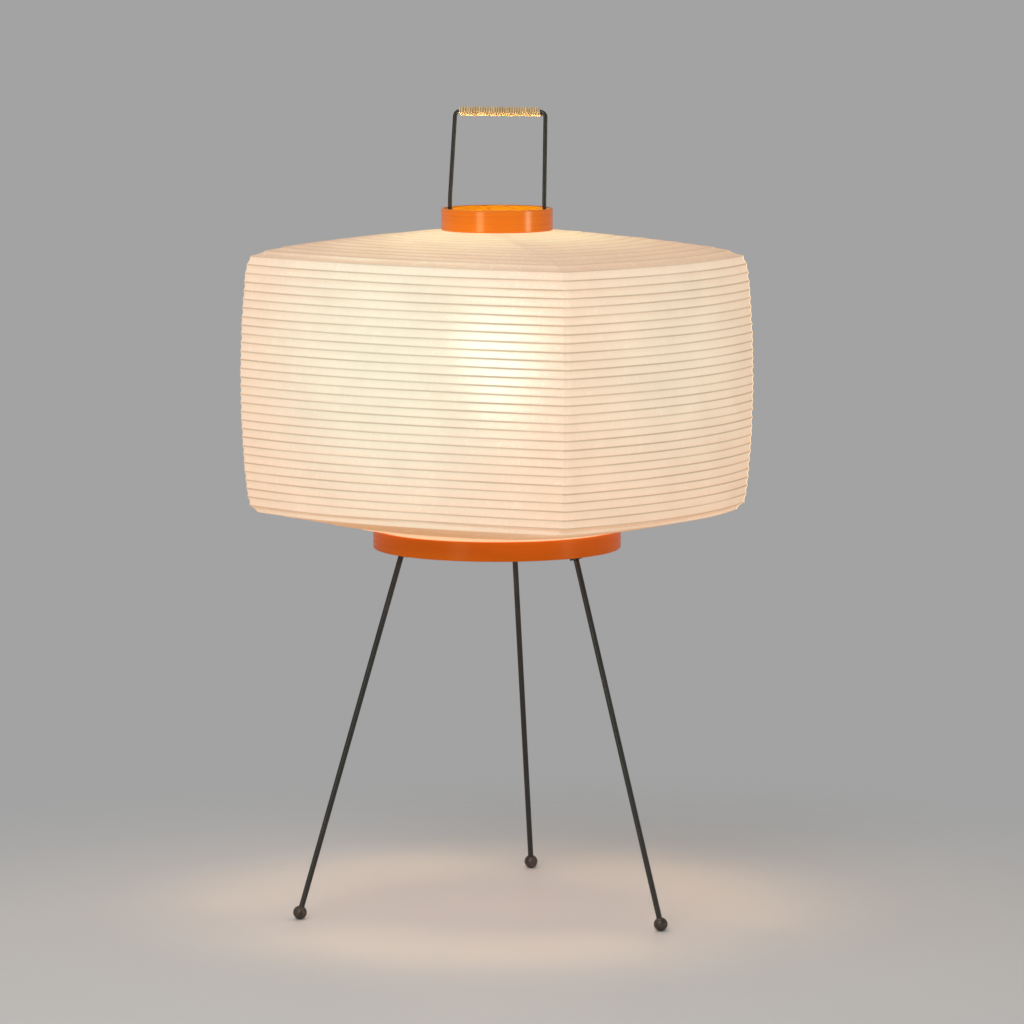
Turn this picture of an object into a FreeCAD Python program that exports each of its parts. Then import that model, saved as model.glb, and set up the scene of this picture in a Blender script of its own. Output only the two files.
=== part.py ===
"""Table lamp with a bowed square paper lantern on three wire legs, millimetres, +Z up.

The origin lies on the lamp's axis, on the surface that the three ball feet stand on.
The front side of the lantern faces -Y, and its long sides run along X.
"""
import FreeCAD, Part
import math
import os

Vector = FreeCAD.Vector
Z_AXIS = Vector(0, 0, 1)

# Lantern: ribs at mid height, counts, and the heights of its rows of ribs
LANTERN_LENGTH = 297.0
LANTERN_DEPTH = 235.0
SIDE_BOW = 17.0
CORNER_RADIUS = 13.0
SIDE_RIBS = 30
SIDE_PITCH = 6.19
TOP_PANEL_RIBS = 11
BOTTOM_PANEL_RIBS = 5
BARREL = 3.8
BOTTOM_PANEL_RISE = 18.6
BAY_HOLLOW = 0.7
PANEL_CURVE = 0.8
PAPER = 0.4
RIB_WIDTH = 1.8
RIB_DEPTH = 1.4
GLUE_GAP = 0.05

# Bentwood rings
TOP_RING_RADIUS = 40.4
TOP_RING_WALL = 2.2
TOP_RING_HEIGHT = 16.0
TOP_PANEL_RISE = 18.4
BASE_RING_RADIUS = 90.0
BASE_RING_WALL = 3.0
BASE_RING_HEIGHT = 14.0
BASE_RING_BOTTOM = 265.0
COLLAR_DEPTH = 6.0
RIM_ROUND = 0.8

# Stand
LEG_DIAMETER = 4.0
LEG_TURN = -3.0
FOOT_CIRCLE = 152.0
FOOT_DIAMETER = 10.0
SOCKET_CIRCLE = 72.0
SOCKET_DIAMETER = 9.0
SOCKET_LENGTH = 13.0
LEG_IN_SOCKET = 9.0
GRUB_DIAMETER = 3.0
PLATE_THICKNESS = 2.0
PLATE_DISC_RADIUS = 46.0
PLATE_ARM_WIDTH = 15.0
PLATE_LIFT = 1.6
TAB_HEIGHT = 9.0
TAB_SCREW_DIAMETER = 2.8
TAB_SCREW_HEAD = 5.6
TAB_SCREW_RISE = 1.8
SCREW_SKIN = 0.7
SLIDE_FIT = 0.05

# Stretcher wire, whose crown is the carrying handle
WIRE_DIAMETER = 3.0
HANDLE_TURN = 22.0
CROWN_INSET = 1.6
CROWN_LEAN = 2.5
HANDLE_RISE = 69.49
CROWN_BEND = 4.0
LEAN_BEND = 150.0
WIRE_TAIL = 6.0
CANE_DIAMETER = 2.05
CANE_TURNS = 24
CANE_PITCH = 2.52

# Guide clips of the top ring
CLIP_HEIGHT = 8.0
CLIP_SLEEVE_WALL = 1.0
CLIP_STRAP = 0.8
CLIP_GAP = 0.7
CLIP_WIDTH = 15.0
TACK_DIAMETER = 1.6
TACK_HEAD = 3.2
TACK_RISE = 0.7

# Lamp stem and holder
STEM_DIAMETER = 10.0
STEM_BORE = 7.0
STEM_IN_HOLDER = 8.0
STEM_TAIL = 9.0
NUT_ACROSS_FLATS = 16.0
NUT_THICKNESS = 4.0
WASHER_DIAMETER = 20.0
WASHER_THICKNESS = 1.2
HOLDER_DIAMETER = 38.0
HOLDER_WALL = 2.0
HOLDER_CAP_HEIGHT = 14.0
HOLDER_SKIRT_HEIGHT = 32.0
INSULATOR_THICKNESS = 5.0
CONTACT_RISE = 3.0
CONTACT_STUD = 1.5
LINER_WALL = 0.8
CORD_BORE = 5.5

# Bulb with a screw cap
BULB_DIAMETER = 60.0
BULB_RISE = 142.4
BULB_CAP_DIAMETER = 26.2
BULB_CAP_LENGTH = 25.0
BULB_NECK_DROP = 53.0
BULB_FOOT = 4.0
BULB_GLASS = 1.0
THREAD_PITCH = 3.6
THREAD_DEPTH = 1.0
BULB_GAP = 0.4

# Levels worked out from the sizes above
BASE_RING_TOP = BASE_RING_BOTTOM + BASE_RING_HEIGHT
BOTTOM_RIB_HEIGHT = BASE_RING_TOP + BOTTOM_PANEL_RISE
TOP_RIB_HEIGHT = BOTTOM_RIB_HEIGHT + (SIDE_RIBS - 1) * SIDE_PITCH
TOP_RING_BOTTOM = TOP_RIB_HEIGHT + TOP_PANEL_RISE
TOP_RING_TOP = TOP_RING_BOTTOM + TOP_RING_HEIGHT
CROWN_HEIGHT = TOP_RING_TOP + HANDLE_RISE
PLATE_BOTTOM = BASE_RING_BOTTOM + PLATE_LIFT
PLATE_TOP = PLATE_BOTTOM + PLATE_THICKNESS
COLLAR_RADIUS = BASE_RING_RADIUS - BASE_RING_WALL
TOP_RING_INSIDE = TOP_RING_RADIUS - TOP_RING_WALL
UPRIGHT_OFFSET = TOP_RING_INSIDE - CLIP_STRAP - CLIP_GAP - WIRE_DIAMETER / 2
CROWN_OFFSET = UPRIGHT_OFFSET - CROWN_INSET
BULB_CENTRE = PLATE_TOP + BULB_RISE
BULB_TIP = BULB_CENTRE - BULB_NECK_DROP - BULB_CAP_LENGTH - BULB_FOOT
HOLDER_FLOOR = BULB_TIP - CONTACT_RISE
HOLDER_JOINT = HOLDER_FLOOR - INSULATOR_THICKNESS
HOLDER_BOTTOM = HOLDER_JOINT - HOLDER_CAP_HEIGHT
STEM_TOP = HOLDER_BOTTOM + STEM_IN_HOLDER
LEG_ANGLES = [LEG_TURN, LEG_TURN + 120, LEG_TURN + 240]
HANDLE_ANGLES = [HANDLE_TURN, HANDLE_TURN + 180]
SIDES = ("front", "right", "rear", "left")

pieces = {}


def polar(radius, degrees, z):
    """Point at a radius and an angle about the lamp's axis."""
    turn = math.radians(degrees)
    return Vector(radius * math.cos(turn), radius * math.sin(turn), z)


def turned(shape, degrees):
    """Copy of a shape turned about the lamp's axis."""
    copy = shape.copy()
    copy.rotate(Vector(), Z_AXIS, degrees)
    return copy


def rod(diameter, start, end):
    """Round bar from one point to another."""
    axis = end - start
    return Part.makeCylinder(diameter / 2, axis.Length, start, axis)


def tube(outer, inner, low, high):
    """Upright round tube on the lamp's axis, given by its two radii."""
    wall = Part.makeCylinder(outer, high - low, Vector(0, 0, low))
    return wall.cut(Part.makeCylinder(inner, high - low + 2, Vector(0, 0, low - 1)))


def revolved(outline):
    """Solid turned about the lamp's axis from a closed outline of (radius, height) points."""
    corners = [Vector(radius, 0, height) for radius, height in outline]
    wire = Part.makePolygon(corners + corners[:1])
    return Part.Face(wire).revolve(Vector(), Z_AXIS, 360)


def hexagon_prism(across_flats, bore, low, high):
    """Hexagon nut on the lamp's axis."""
    corner = across_flats / math.sqrt(3)
    outline = Part.makePolygon([polar(corner, 60 * side, low) for side in range(7)])
    body = Part.Face(outline).extrude(Vector(0, 0, high - low))
    return body.cut(Part.makeCylinder(bore / 2, high - low + 2, Vector(0, 0, low - 1)))


def compound(solids):
    """Group of separate solids that share one name."""
    return Part.makeCompound(solids)


def hoop(outer, wall, low, height):
    """Bentwood hoop with rounded rims."""
    ring = tube(outer, outer - wall, low, low + height)
    rims = [edge for edge in ring.Edges if edge.Closed and edge.Curve.TypeId == "Part::GeomCircle"]
    return ring.makeFillet(min(RIM_ROUND, wall / 3), rims)


def side_keys(half_length, half_depth):
    """Places and outward normals that fix a quarter of a rib on the lantern's sides, from front to right.

    They are the middle of the bowed front, the two ends and the tip of the rounded corner, and the
    middle of the bowed right side.
    """
    front = (half_length ** 2 + SIDE_BOW ** 2) / (2 * SIDE_BOW)
    right = (half_depth ** 2 + SIDE_BOW ** 2) / (2 * SIDE_BOW)
    front_centre = Vector(0, front - half_depth - SIDE_BOW, 0)
    right_centre = Vector(half_length + SIDE_BOW - right, 0, 0)
    reach = right_centre - front_centre
    to_front, to_right = front - CORNER_RADIUS, right - CORNER_RADIUS
    along = (to_front ** 2 - to_right ** 2 + reach.Length ** 2) / (2 * reach.Length)
    aside = math.sqrt(to_front ** 2 - along ** 2)
    way = reach.normalize()
    bend = front_centre + way * along + Vector(-way.y, way.x, 0) * aside
    if bend.x < 0 or bend.y > 0:
        bend = front_centre + way * along - Vector(-way.y, way.x, 0) * aside
    normals = [bend - front_centre, Vector(half_length, -half_depth, 0) - bend, bend - right_centre]
    normals = [normal.normalize() for normal in normals]
    keys = [(Vector(0, -half_depth - SIDE_BOW, 0), Vector(0, -1, 0))]
    keys += [(bend + normal * CORNER_RADIUS, normal) for normal in normals]
    keys.append((Vector(half_length + SIDE_BOW, 0, 0), Vector(1, 0, 0)))
    return keys


def ring_keys(radius):
    """The same five places on a round rib."""
    normals = [polar(1, degrees, 0) for degrees in (-90, -65, -45, -25, 0)]
    return [(normal * radius, normal) for normal in normals]


def blended_keys(first, last, share):
    """Places a share of the way from one rib to another."""
    return [(a + (b - a) * share, (m + (n - m) * share).normalize()) for (a, m), (b, n) in zip(first, last)]


def rib_outline(keys, z, inset=0.0):
    """Closed wire of four bowed sides and four rounded corners at one height, moved in by the inset."""
    spots = [place - normal * inset for place, normal in keys]

    def arc(first, middle, last, mirrors):
        chosen = [spots[number] for number in (first, middle, last)]
        ends = [Vector(spot.x * x, spot.y * y, z) for spot, (x, y) in zip(chosen, mirrors)]
        return Part.Arc(*ends).toShape()

    edges = []
    for side in (1, -1):
        here, there = (side, side), (side, -side)
        edges.append(arc(1, 0, 1, ((-side, side), here, here)))
        edges.append(arc(1, 2, 3, (here, here, here)))
        edges.append(arc(3, 4, 3, (here, here, there)))
        edges.append(arc(3, 2, 1, (there, there, there)))
    return Part.Wire(edges)


def lantern_levels():
    """Every rib from the base ring up to the top ring, as its key places and its height."""
    levels = []
    half = [size / 2 for size in (LANTERN_LENGTH, LANTERN_DEPTH)]
    edge = side_keys(*[size - BARREL for size in half])
    for step in range(BOTTOM_PANEL_RIBS + 1):
        share = 1 - step / (BOTTOM_PANEL_RIBS + 1)
        drop = (BOTTOM_RIB_HEIGHT - BASE_RING_TOP) * share ** PANEL_CURVE
        levels.append((blended_keys(edge, ring_keys(COLLAR_RADIUS), share), BOTTOM_RIB_HEIGHT - drop))
    for rib in range(SIDE_RIBS):
        off_middle = rib / (SIDE_RIBS - 1) * 2 - 1
        keys = side_keys(*[size - BARREL * off_middle ** 2 for size in half])
        levels.append((keys, BOTTOM_RIB_HEIGHT + rib * SIDE_PITCH))
    mouth = ring_keys(TOP_RING_RADIUS - RIM_ROUND)
    for step in range(1, TOP_PANEL_RIBS + 2):
        share = step / (TOP_PANEL_RIBS + 1)
        rise = TOP_PANEL_RISE * share ** PANEL_CURVE
        levels.append((blended_keys(edge, mouth, share), TOP_RIB_HEIGHT + rise))
    return levels


def inward(low, high):
    """Unit step inwards, as parts in and up, square to the profile between two levels."""
    run = (high[0][0][0] - low[0][0][0]).dot(low[0][0][1])
    rise = high[1] - low[1]
    length = math.hypot(run, rise)
    return rise / length, run / length


def hollow_level(low, high):
    """Outline half way between two ribs, drawn in by the hollow of the paper."""
    inset, lift = inward(low, high)
    height = (low[1] + high[1]) / 2 + lift * BAY_HOLLOW
    return rib_outline(blended_keys(low[0], high[0], 0.5), height, inset * BAY_HOLLOW)


def set_in(levels, index, width=0.0, depth=0.0):
    """How far in and up the middle of a width by depth section goes to seat on the paper at one rib line."""
    under, over = inward(levels[index - 1], levels[index]), inward(levels[index], levels[index + 1])
    skin = PAPER + BAY_HOLLOW + (GLUE_GAP if width else 0.0)
    far = [skin + abs(inset) * depth / 2 + abs(lift) * width / 2 for inset, lift in (under, over)]
    turn = under[0] * over[1] - under[1] * over[0]
    if abs(turn) < 0.2:
        reach = max(far)
        return reach * (under[0] + over[0]) / 2, reach * (under[1] + over[1]) / 2
    return (far[0] * over[1] - far[1] * under[1]) / turn, (far[1] * under[0] - far[0] * over[0]) / turn


def inner_level(levels, index):
    """Outline of the paper's inner face at one rib."""
    inset, lift = set_in(levels, index)
    return rib_outline(levels[index][0], levels[index][1] + lift, inset)


def paper_panels():
    """Four paper panels, each from the base ring over one side to the top ring, parted at the corners."""
    levels = lantern_levels()
    collar, mouth = levels[0][0], levels[-1][0]
    outer = [rib_outline(collar, BASE_RING_TOP - COLLAR_DEPTH)]
    for low, high in zip(levels, levels[1:]):
        outer += [rib_outline(*low), hollow_level(low, high)]
    outer.append(rib_outline(*levels[-1]))
    skin = Part.makeLoft(outer, True, True)

    skin_depth = PAPER + BAY_HOLLOW
    inside = [rib_outline(collar, BASE_RING_TOP + rise, PAPER) for rise in (-COLLAR_DEPTH - 1, skin_depth)]
    inside += [inner_level(levels, index) for index in range(1, len(levels) - 1)]
    inside += [rib_outline(mouth, TOP_RING_BOTTOM + rise, PAPER) for rise in (-skin_depth, 1)]
    skin = skin.cut(Part.makeLoft(inside, True, True))

    low, high = Vector(0, 0, BASE_RING_BOTTOM - 5), Vector(0, 0, TOP_RING_TOP)
    quarters = ((-1, -1), (1, -1), (1, 1), (-1, 1))
    seams = [Vector(LANTERN_LENGTH * x, LANTERN_DEPTH * y, 0) for x, y in quarters]
    for number, name in enumerate(SIDES):
        corners = [low, low + seams[number], low + seams[(number + 1) % 4], low]
        wedge = Part.Face(Part.makePolygon(corners)).extrude(high - low)
        pieces[f"paper_{name}"] = skin.common(wedge)


def bamboo_rib(levels, index):
    """Split bamboo hoop glued behind the paper at one rib line."""
    keys, height = levels[index]
    inset, lift = set_in(levels, index, RIB_WIDTH, RIB_DEPTH)
    low = height + lift - RIB_WIDTH / 2
    outside, inside = (Part.Face(rib_outline(keys, low, inset + side * RIB_DEPTH / 2)) for side in (-1, 1))
    return outside.cut(inside).extrude(Vector(0, 0, RIB_WIDTH))


def bamboo_ribs():
    """Hoops of the bottom panel, the sides and the top panel."""
    levels = lantern_levels()
    side = BOTTOM_PANEL_RIBS + 1
    rows = {"bottom_ribs": range(1, side), "side_ribs": range(side, side + SIDE_RIBS),
            "top_ribs": range(side + SIDE_RIBS, len(levels) - 1)}
    for name, row in rows.items():
        pieces[name] = compound([bamboo_rib(levels, index) for index in row])


def leg_line(degrees):
    """Foot centre and unit direction up one leg."""
    foot = polar(FOOT_CIRCLE, degrees, FOOT_DIAMETER / 2)
    socket = polar(SOCKET_CIRCLE, degrees, PLATE_BOTTOM + PLATE_THICKNESS / 2)
    return foot, socket, (socket - foot).normalize()


def stand_frame():
    """Legs, ball feet, sockets and grub screws of the stand, and the base plate that carries them."""
    plate = Part.makeCylinder(PLATE_DISC_RADIUS, PLATE_THICKNESS, Vector(0, 0, PLATE_BOTTOM))
    sockets, grubs, tabs, screws = [], [], [], []
    ring = hoop(BASE_RING_RADIUS, BASE_RING_WALL, BASE_RING_BOTTOM, BASE_RING_HEIGHT)
    tab_outside = COLLAR_RADIUS - PAPER - GLUE_GAP
    tab_inside = tab_outside - PLATE_THICKNESS
    screw_height = PLATE_TOP + TAB_HEIGHT / 2
    for number, degrees in enumerate(LEG_ANGLES, 1):
        foot, socket, up = leg_line(degrees)
        end = socket + up * (LEG_IN_SOCKET - SOCKET_LENGTH / 2)
        leg = rod(LEG_DIAMETER, foot, end)
        ball = Part.makeSphere(FOOT_DIAMETER / 2, foot)
        bore = rod(LEG_DIAMETER + 2 * SLIDE_FIT, foot, foot + up * FOOT_DIAMETER)
        pieces[f"leg_{number}"] = leg
        pieces[f"foot_{number}"] = ball.cut(bore)

        shell = rod(SOCKET_DIAMETER, socket - up * SOCKET_LENGTH / 2, socket + up * SOCKET_LENGTH / 2)
        hollow = rod(LEG_DIAMETER + 2 * SLIDE_FIT, socket - up * SOCKET_LENGTH, end + up * SLIDE_FIT)
        inward = polar(-1, degrees, 0)
        across = (inward - up * inward.dot(up)).normalize()
        at = socket + up * (PLATE_THICKNESS - SOCKET_LENGTH / 2)
        tip = at + across * (LEG_DIAMETER / 2 + SLIDE_FIT)
        grub = rod(GRUB_DIAMETER, tip, at + across * SOCKET_DIAMETER * 0.48)
        grubs.append(grub)
        sockets.append(shell.cut(hollow).cut(grub))

        edge = Vector(0, -PLATE_ARM_WIDTH / 2, PLATE_BOTTOM)
        arm = Part.makeBox(tab_outside, PLATE_ARM_WIDTH, PLATE_THICKNESS, edge)
        tab = tube(tab_outside, tab_inside, PLATE_BOTTOM, PLATE_TOP + TAB_HEIGHT)
        stay = Part.makeBox(tab_outside, PLATE_ARM_WIDTH, 2 * TAB_HEIGHT, edge)
        arm = arm.common(Part.makeCylinder(tab_outside, PLATE_THICKNESS, Vector(0, 0, PLATE_BOTTOM)))
        tabs.append(turned(arm.fuse(tab.common(stay)), degrees).cut(shell))

        seat = polar(tab_inside, degrees, screw_height)
        crown = polar(tab_inside - TAB_SCREW_RISE, degrees, screw_height)
        shank = rod(TAB_SCREW_DIAMETER, crown, polar(BASE_RING_RADIUS - SCREW_SKIN, degrees, screw_height))
        beyond = tube(BASE_RING_RADIUS, tab_inside, PLATE_TOP, PLATE_TOP + TAB_HEIGHT)
        screws.append(rod(TAB_SCREW_HEAD, crown, seat).cut(beyond).fuse(shank).removeSplitter())
    for tab in tabs:
        plate = plate.fuse(tab)
    plate = plate.removeSplitter()
    plate = plate.cut(Part.makeCylinder(STEM_DIAMETER / 2 + SLIDE_FIT, 20, Vector(0, 0, PLATE_BOTTOM - 5)))
    for degrees in HANDLE_ANGLES:
        hole = polar(UPRIGHT_OFFSET, degrees, PLATE_BOTTOM - 5)
        plate = plate.cut(Part.makeCylinder(WIRE_DIAMETER / 2 + SLIDE_FIT, 20, hole))
    for screw in screws:
        plate, ring = plate.cut(screw), ring.cut(screw)
        for name in SIDES:
            pieces[f"paper_{name}"] = pieces[f"paper_{name}"].cut(screw)
    pieces["base_plate"] = plate
    pieces["base_ring"] = ring
    pieces["leg_sockets"] = compound(sockets)
    pieces["leg_grub_screws"] = compound(grubs)
    pieces["tab_screws"] = compound(screws)


def rounded_path(points, radii):
    """Wire of straight runs whose inner corners are arcs of the given radii."""
    edges, start = [], points[0]
    for before, corner, after, radius in zip(points, points[1:], points[2:], radii):
        back, on = (before - corner).normalize(), (after - corner).normalize()
        half = math.acos(max(-1.0, min(1.0, back.dot(on)))) / 2
        enter, leave = corner + back * (radius / math.tan(half)), corner + on * (radius / math.tan(half))
        centre = corner + (back + on).normalize() * (radius / math.sin(half))
        crown = centre + (corner - centre).normalize() * radius
        edges += [Part.LineSegment(start, enter).toShape(), Part.Arc(enter, crown, leave).toShape()]
        start = leave
    edges.append(Part.LineSegment(start, points[-1]).toShape())
    return Part.Wire(edges)


def stretcher():
    """One bent wire: threaded feet on the base plate, two uprights and the crown that is the handle."""
    foot, lean = PLATE_BOTTOM - WIRE_TAIL, TOP_RING_TOP + 6
    outline = [(UPRIGHT_OFFSET, foot), (UPRIGHT_OFFSET, lean), (CROWN_LEAN + CROWN_OFFSET, CROWN_HEIGHT),
               (CROWN_LEAN - CROWN_OFFSET, CROWN_HEIGHT), (-UPRIGHT_OFFSET, lean), (-UPRIGHT_OFFSET, foot)]
    outline = [polar(reach, HANDLE_TURN, z) for reach, z in outline]
    path = rounded_path(outline, [LEAN_BEND, CROWN_BEND, CROWN_BEND, LEAN_BEND])
    section = Part.Wire(Part.makeCircle(WIRE_DIAMETER / 2, outline[0], Z_AXIS))
    pieces["stretcher_handle"] = path.makePipeShell([section], True, False)
    nuts = []
    bore = WIRE_DIAMETER + 2 * SLIDE_FIT
    for degrees in HANDLE_ANGLES:
        for low in (PLATE_BOTTOM - 2.4, PLATE_TOP):
            nut = hexagon_prism(5.5, bore, low, low + 2.4)
            nut.translate(polar(UPRIGHT_OFFSET, degrees, 0))
            nuts.append(nut)
    pieces["stretcher_nuts"] = compound(nuts)


def biarc(start, start_way, end, end_way):
    """Two arcs that join two points and keep both directions."""
    chord, ways = end - start, start_way + end_way
    square = 2 * (start_way.dot(end_way) - 1)
    linear = -2 * chord.dot(ways)
    reach = (-linear - math.sqrt(linear ** 2 - 4 * square * chord.dot(chord))) / (2 * square)
    corners = [start + start_way * reach, end - end_way * reach]
    join = (corners[0] + corners[1]) / 2
    arcs = []
    for first, corner, last in ((start, corners[0], join), (join, corners[1], end)):
        middle = (first + last) / 2
        rise = corner - middle
        half = math.atan2(rise.Length, (last - first).Length / 2)
        sag = (last - first).Length / 2 * math.tan(half / 2)
        arcs.append(Part.Arc(first, middle + rise * (sag / rise.Length), last))
    return arcs


def cane_grip():
    """Round cane wound as one unbroken tube about the handle's crown."""
    along = polar(1, HANDLE_TURN, 0)
    aside = Z_AXIS.cross(along)
    radius = WIRE_DIAMETER / 2 + CANE_DIAMETER / 2 + GLUE_GAP
    lead = CANE_PITCH / (2 * math.pi)
    middle = polar(CROWN_LEAN, HANDLE_TURN, CROWN_HEIGHT)

    def point(turn):
        circle = aside * math.cos(turn) + Z_AXIS * math.sin(turn)
        return middle + circle * radius + along * (lead * turn - CANE_PITCH * CANE_TURNS / 2)

    def way(turn):
        return ((Z_AXIS * math.cos(turn) - aside * math.sin(turn)) * radius + along * lead).normalize()

    turns = [math.pi / 2 * step for step in range(4 * CANE_TURNS + 1)]
    curves = []
    for first, last in zip(turns, turns[1:]):
        curves += biarc(point(first), way(first), point(last), way(last))
    first, last = point(turns[0]), point(turns[-1])
    lead_in = Part.LineSegment(first - way(turns[0]) * CANE_DIAMETER, first)
    lead_out = Part.LineSegment(last, last + way(turns[-1]) * CANE_DIAMETER)
    path = Part.Wire([curve.toShape() for curve in [lead_in, *curves, lead_out]])

    begin = first - way(turns[0]) * CANE_DIAMETER
    up = aside
    over = way(turns[0]).cross(up).normalize()
    up = over.cross(way(turns[0])).normalize()
    corners = []
    for side in range(7):
        angle = math.radians(60 * side)
        corners.append(begin + (up * math.cos(angle) + over * math.sin(angle)) * (CANE_DIAMETER / 2))
    pieces["cane_grip"] = path.makePipeShell([Part.makePolygon(corners)], True, False)

    steps = 48
    line = [point(2 * math.pi * step / steps) for step in range(CANE_TURNS * steps)]
    pairs = [(i, j) for i in range(3 * steps) for j in range(i + steps // 2, 4 * steps)]
    nearest = min(line[i].distanceToPoint(line[j]) for i, j in pairs)
    print(f"least gap of the cane to itself {nearest - CANE_DIAMETER:.2f} mm")


def top_ring():
    """Upper hoop with the two spring clips that ride on the stretcher's uprights."""
    ring = hoop(TOP_RING_RADIUS, TOP_RING_WALL, TOP_RING_BOTTOM, TOP_RING_HEIGHT)
    low = TOP_RING_BOTTOM + (TOP_RING_HEIGHT - CLIP_HEIGHT) / 2
    clips, tacks = [], []
    for degrees in HANDLE_ANGLES:
        at = Vector(UPRIGHT_OFFSET, 0, low)
        sleeve = Part.makeCylinder(WIRE_DIAMETER / 2 + SLIDE_FIT + CLIP_SLEEVE_WALL, CLIP_HEIGHT, at)
        strap = tube(TOP_RING_INSIDE, TOP_RING_INSIDE - CLIP_STRAP, low, low + CLIP_HEIGHT)
        stay = Part.makeBox(TOP_RING_RADIUS, CLIP_WIDTH, CLIP_HEIGHT, Vector(0, -CLIP_WIDTH / 2, low))
        clip = sleeve.common(Part.makeCylinder(TOP_RING_INSIDE, 200, Vector(0, 0, low - 50)))
        clip = clip.fuse(strap.common(stay)).removeSplitter()
        clip = clip.cut(Part.makeCylinder(WIRE_DIAMETER / 2 + SLIDE_FIT, 2 * CLIP_HEIGHT, at - Z_AXIS))
        for side in (-1, 1):
            aim = math.degrees(math.asin(side * CLIP_WIDTH * 0.34 / TOP_RING_INSIDE))
            height = low + CLIP_HEIGHT / 2
            seat = polar(TOP_RING_INSIDE - CLIP_STRAP, aim, height)
            crown = polar(TOP_RING_INSIDE - CLIP_STRAP - TACK_RISE, aim, height)
            shank = rod(TACK_DIAMETER, crown, polar(TOP_RING_RADIUS - SCREW_SKIN, aim, height))
            beyond = tube(TOP_RING_RADIUS, TOP_RING_INSIDE - CLIP_STRAP, low, low + CLIP_HEIGHT)
            tack = rod(TACK_HEAD, crown, seat).cut(beyond).fuse(shank).removeSplitter()
            clip = clip.cut(tack)
            tacks.append(turned(tack, degrees))
        clips.append(turned(clip, degrees))
    for tack in tacks:
        ring = ring.cut(tack)
    pieces["top_ring"] = ring
    pieces["ring_clips"] = compound(clips)
    pieces["clip_tacks"] = compound(tacks)


def lamp_stem():
    """Hollow stem through the base plate, its nuts and washers, and the bush that the lead would enter by."""
    bottom = PLATE_BOTTOM - STEM_TAIL
    pieces["lamp_stem"] = tube(STEM_DIAMETER / 2, STEM_BORE / 2, bottom, STEM_TOP)
    hole = STEM_DIAMETER / 2 + SLIDE_FIT
    under, over = PLATE_BOTTOM - WASHER_THICKNESS, PLATE_TOP + WASHER_THICKNESS
    spans = ((under, PLATE_BOTTOM), (PLATE_TOP, over))
    washers = [tube(WASHER_DIAMETER / 2, hole, low, high) for low, high in spans]
    nuts = [hexagon_prism(NUT_ACROSS_FLATS, 2 * hole, under - NUT_THICKNESS, under)]
    nuts.append(hexagon_prism(NUT_ACROSS_FLATS, 2 * hole, over, over + NUT_THICKNESS))
    pieces["stem_washers"] = compound(washers)
    pieces["stem_nuts"] = compound(nuts)
    spigot = STEM_BORE / 2 - SLIDE_FIT
    flange = STEM_DIAMETER / 2 + 1.5
    bush = [(CORD_BORE / 2, bottom - 3), (flange - 1, bottom - 3), (flange, bottom - 2), (flange, bottom),
            (spigot, bottom), (spigot, bottom + 7), (CORD_BORE / 2, bottom + 7)]
    pieces["cord_bush"] = revolved(bush)


def lamp_holder():
    """Screw lampholder on the stem: cap, skirted body, insulator, threaded liner and centre contact."""
    outer = HOLDER_DIAMETER / 2
    inner = outer - HOLDER_WALL
    bottom, joint, floor = HOLDER_BOTTOM, HOLDER_JOINT, HOLDER_FLOOR
    top = joint + HOLDER_SKIRT_HEIGHT
    bore = STEM_DIAMETER / 2 + SLIDE_FIT
    neck = bore + HOLDER_WALL
    cap = [(bore, bottom), (neck, bottom), (neck + 1, bottom + 4), (outer - 4, joint - 5), (outer, joint - 2),
           (outer, joint), (inner, joint), (inner - 4, joint - 3), (neck, STEM_TOP), (bore, STEM_TOP)]
    pieces["holder_cap"] = revolved(cap)
    liner = BULB_CAP_DIAMETER / 2 + BULB_GAP
    skirt = [(inner, joint), (outer, joint), (outer, joint + 10), (outer - 1.5, joint + 12),
             (outer - 1.5, top - 3), (outer - 2.5, top), (liner + LINER_WALL, top),
             (liner + LINER_WALL, floor), (inner, floor)]
    pieces["holder_body"] = revolved(skirt)
    pieces["holder_insulator"] = tube(inner - SLIDE_FIT, CONTACT_STUD + SLIDE_FIT, joint, floor)
    pieces["holder_liner"] = tube(liner + LINER_WALL - SLIDE_FIT, liner, floor, top - 4)
    touch = BULB_TIP - BULB_GAP
    leaf = [(0, joint), (CONTACT_STUD, joint), (CONTACT_STUD, floor), (4, floor), (4, floor + 0.6),
            (2.4, touch), (0, touch)]
    pieces["holder_contact"] = revolved(leaf)


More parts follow.
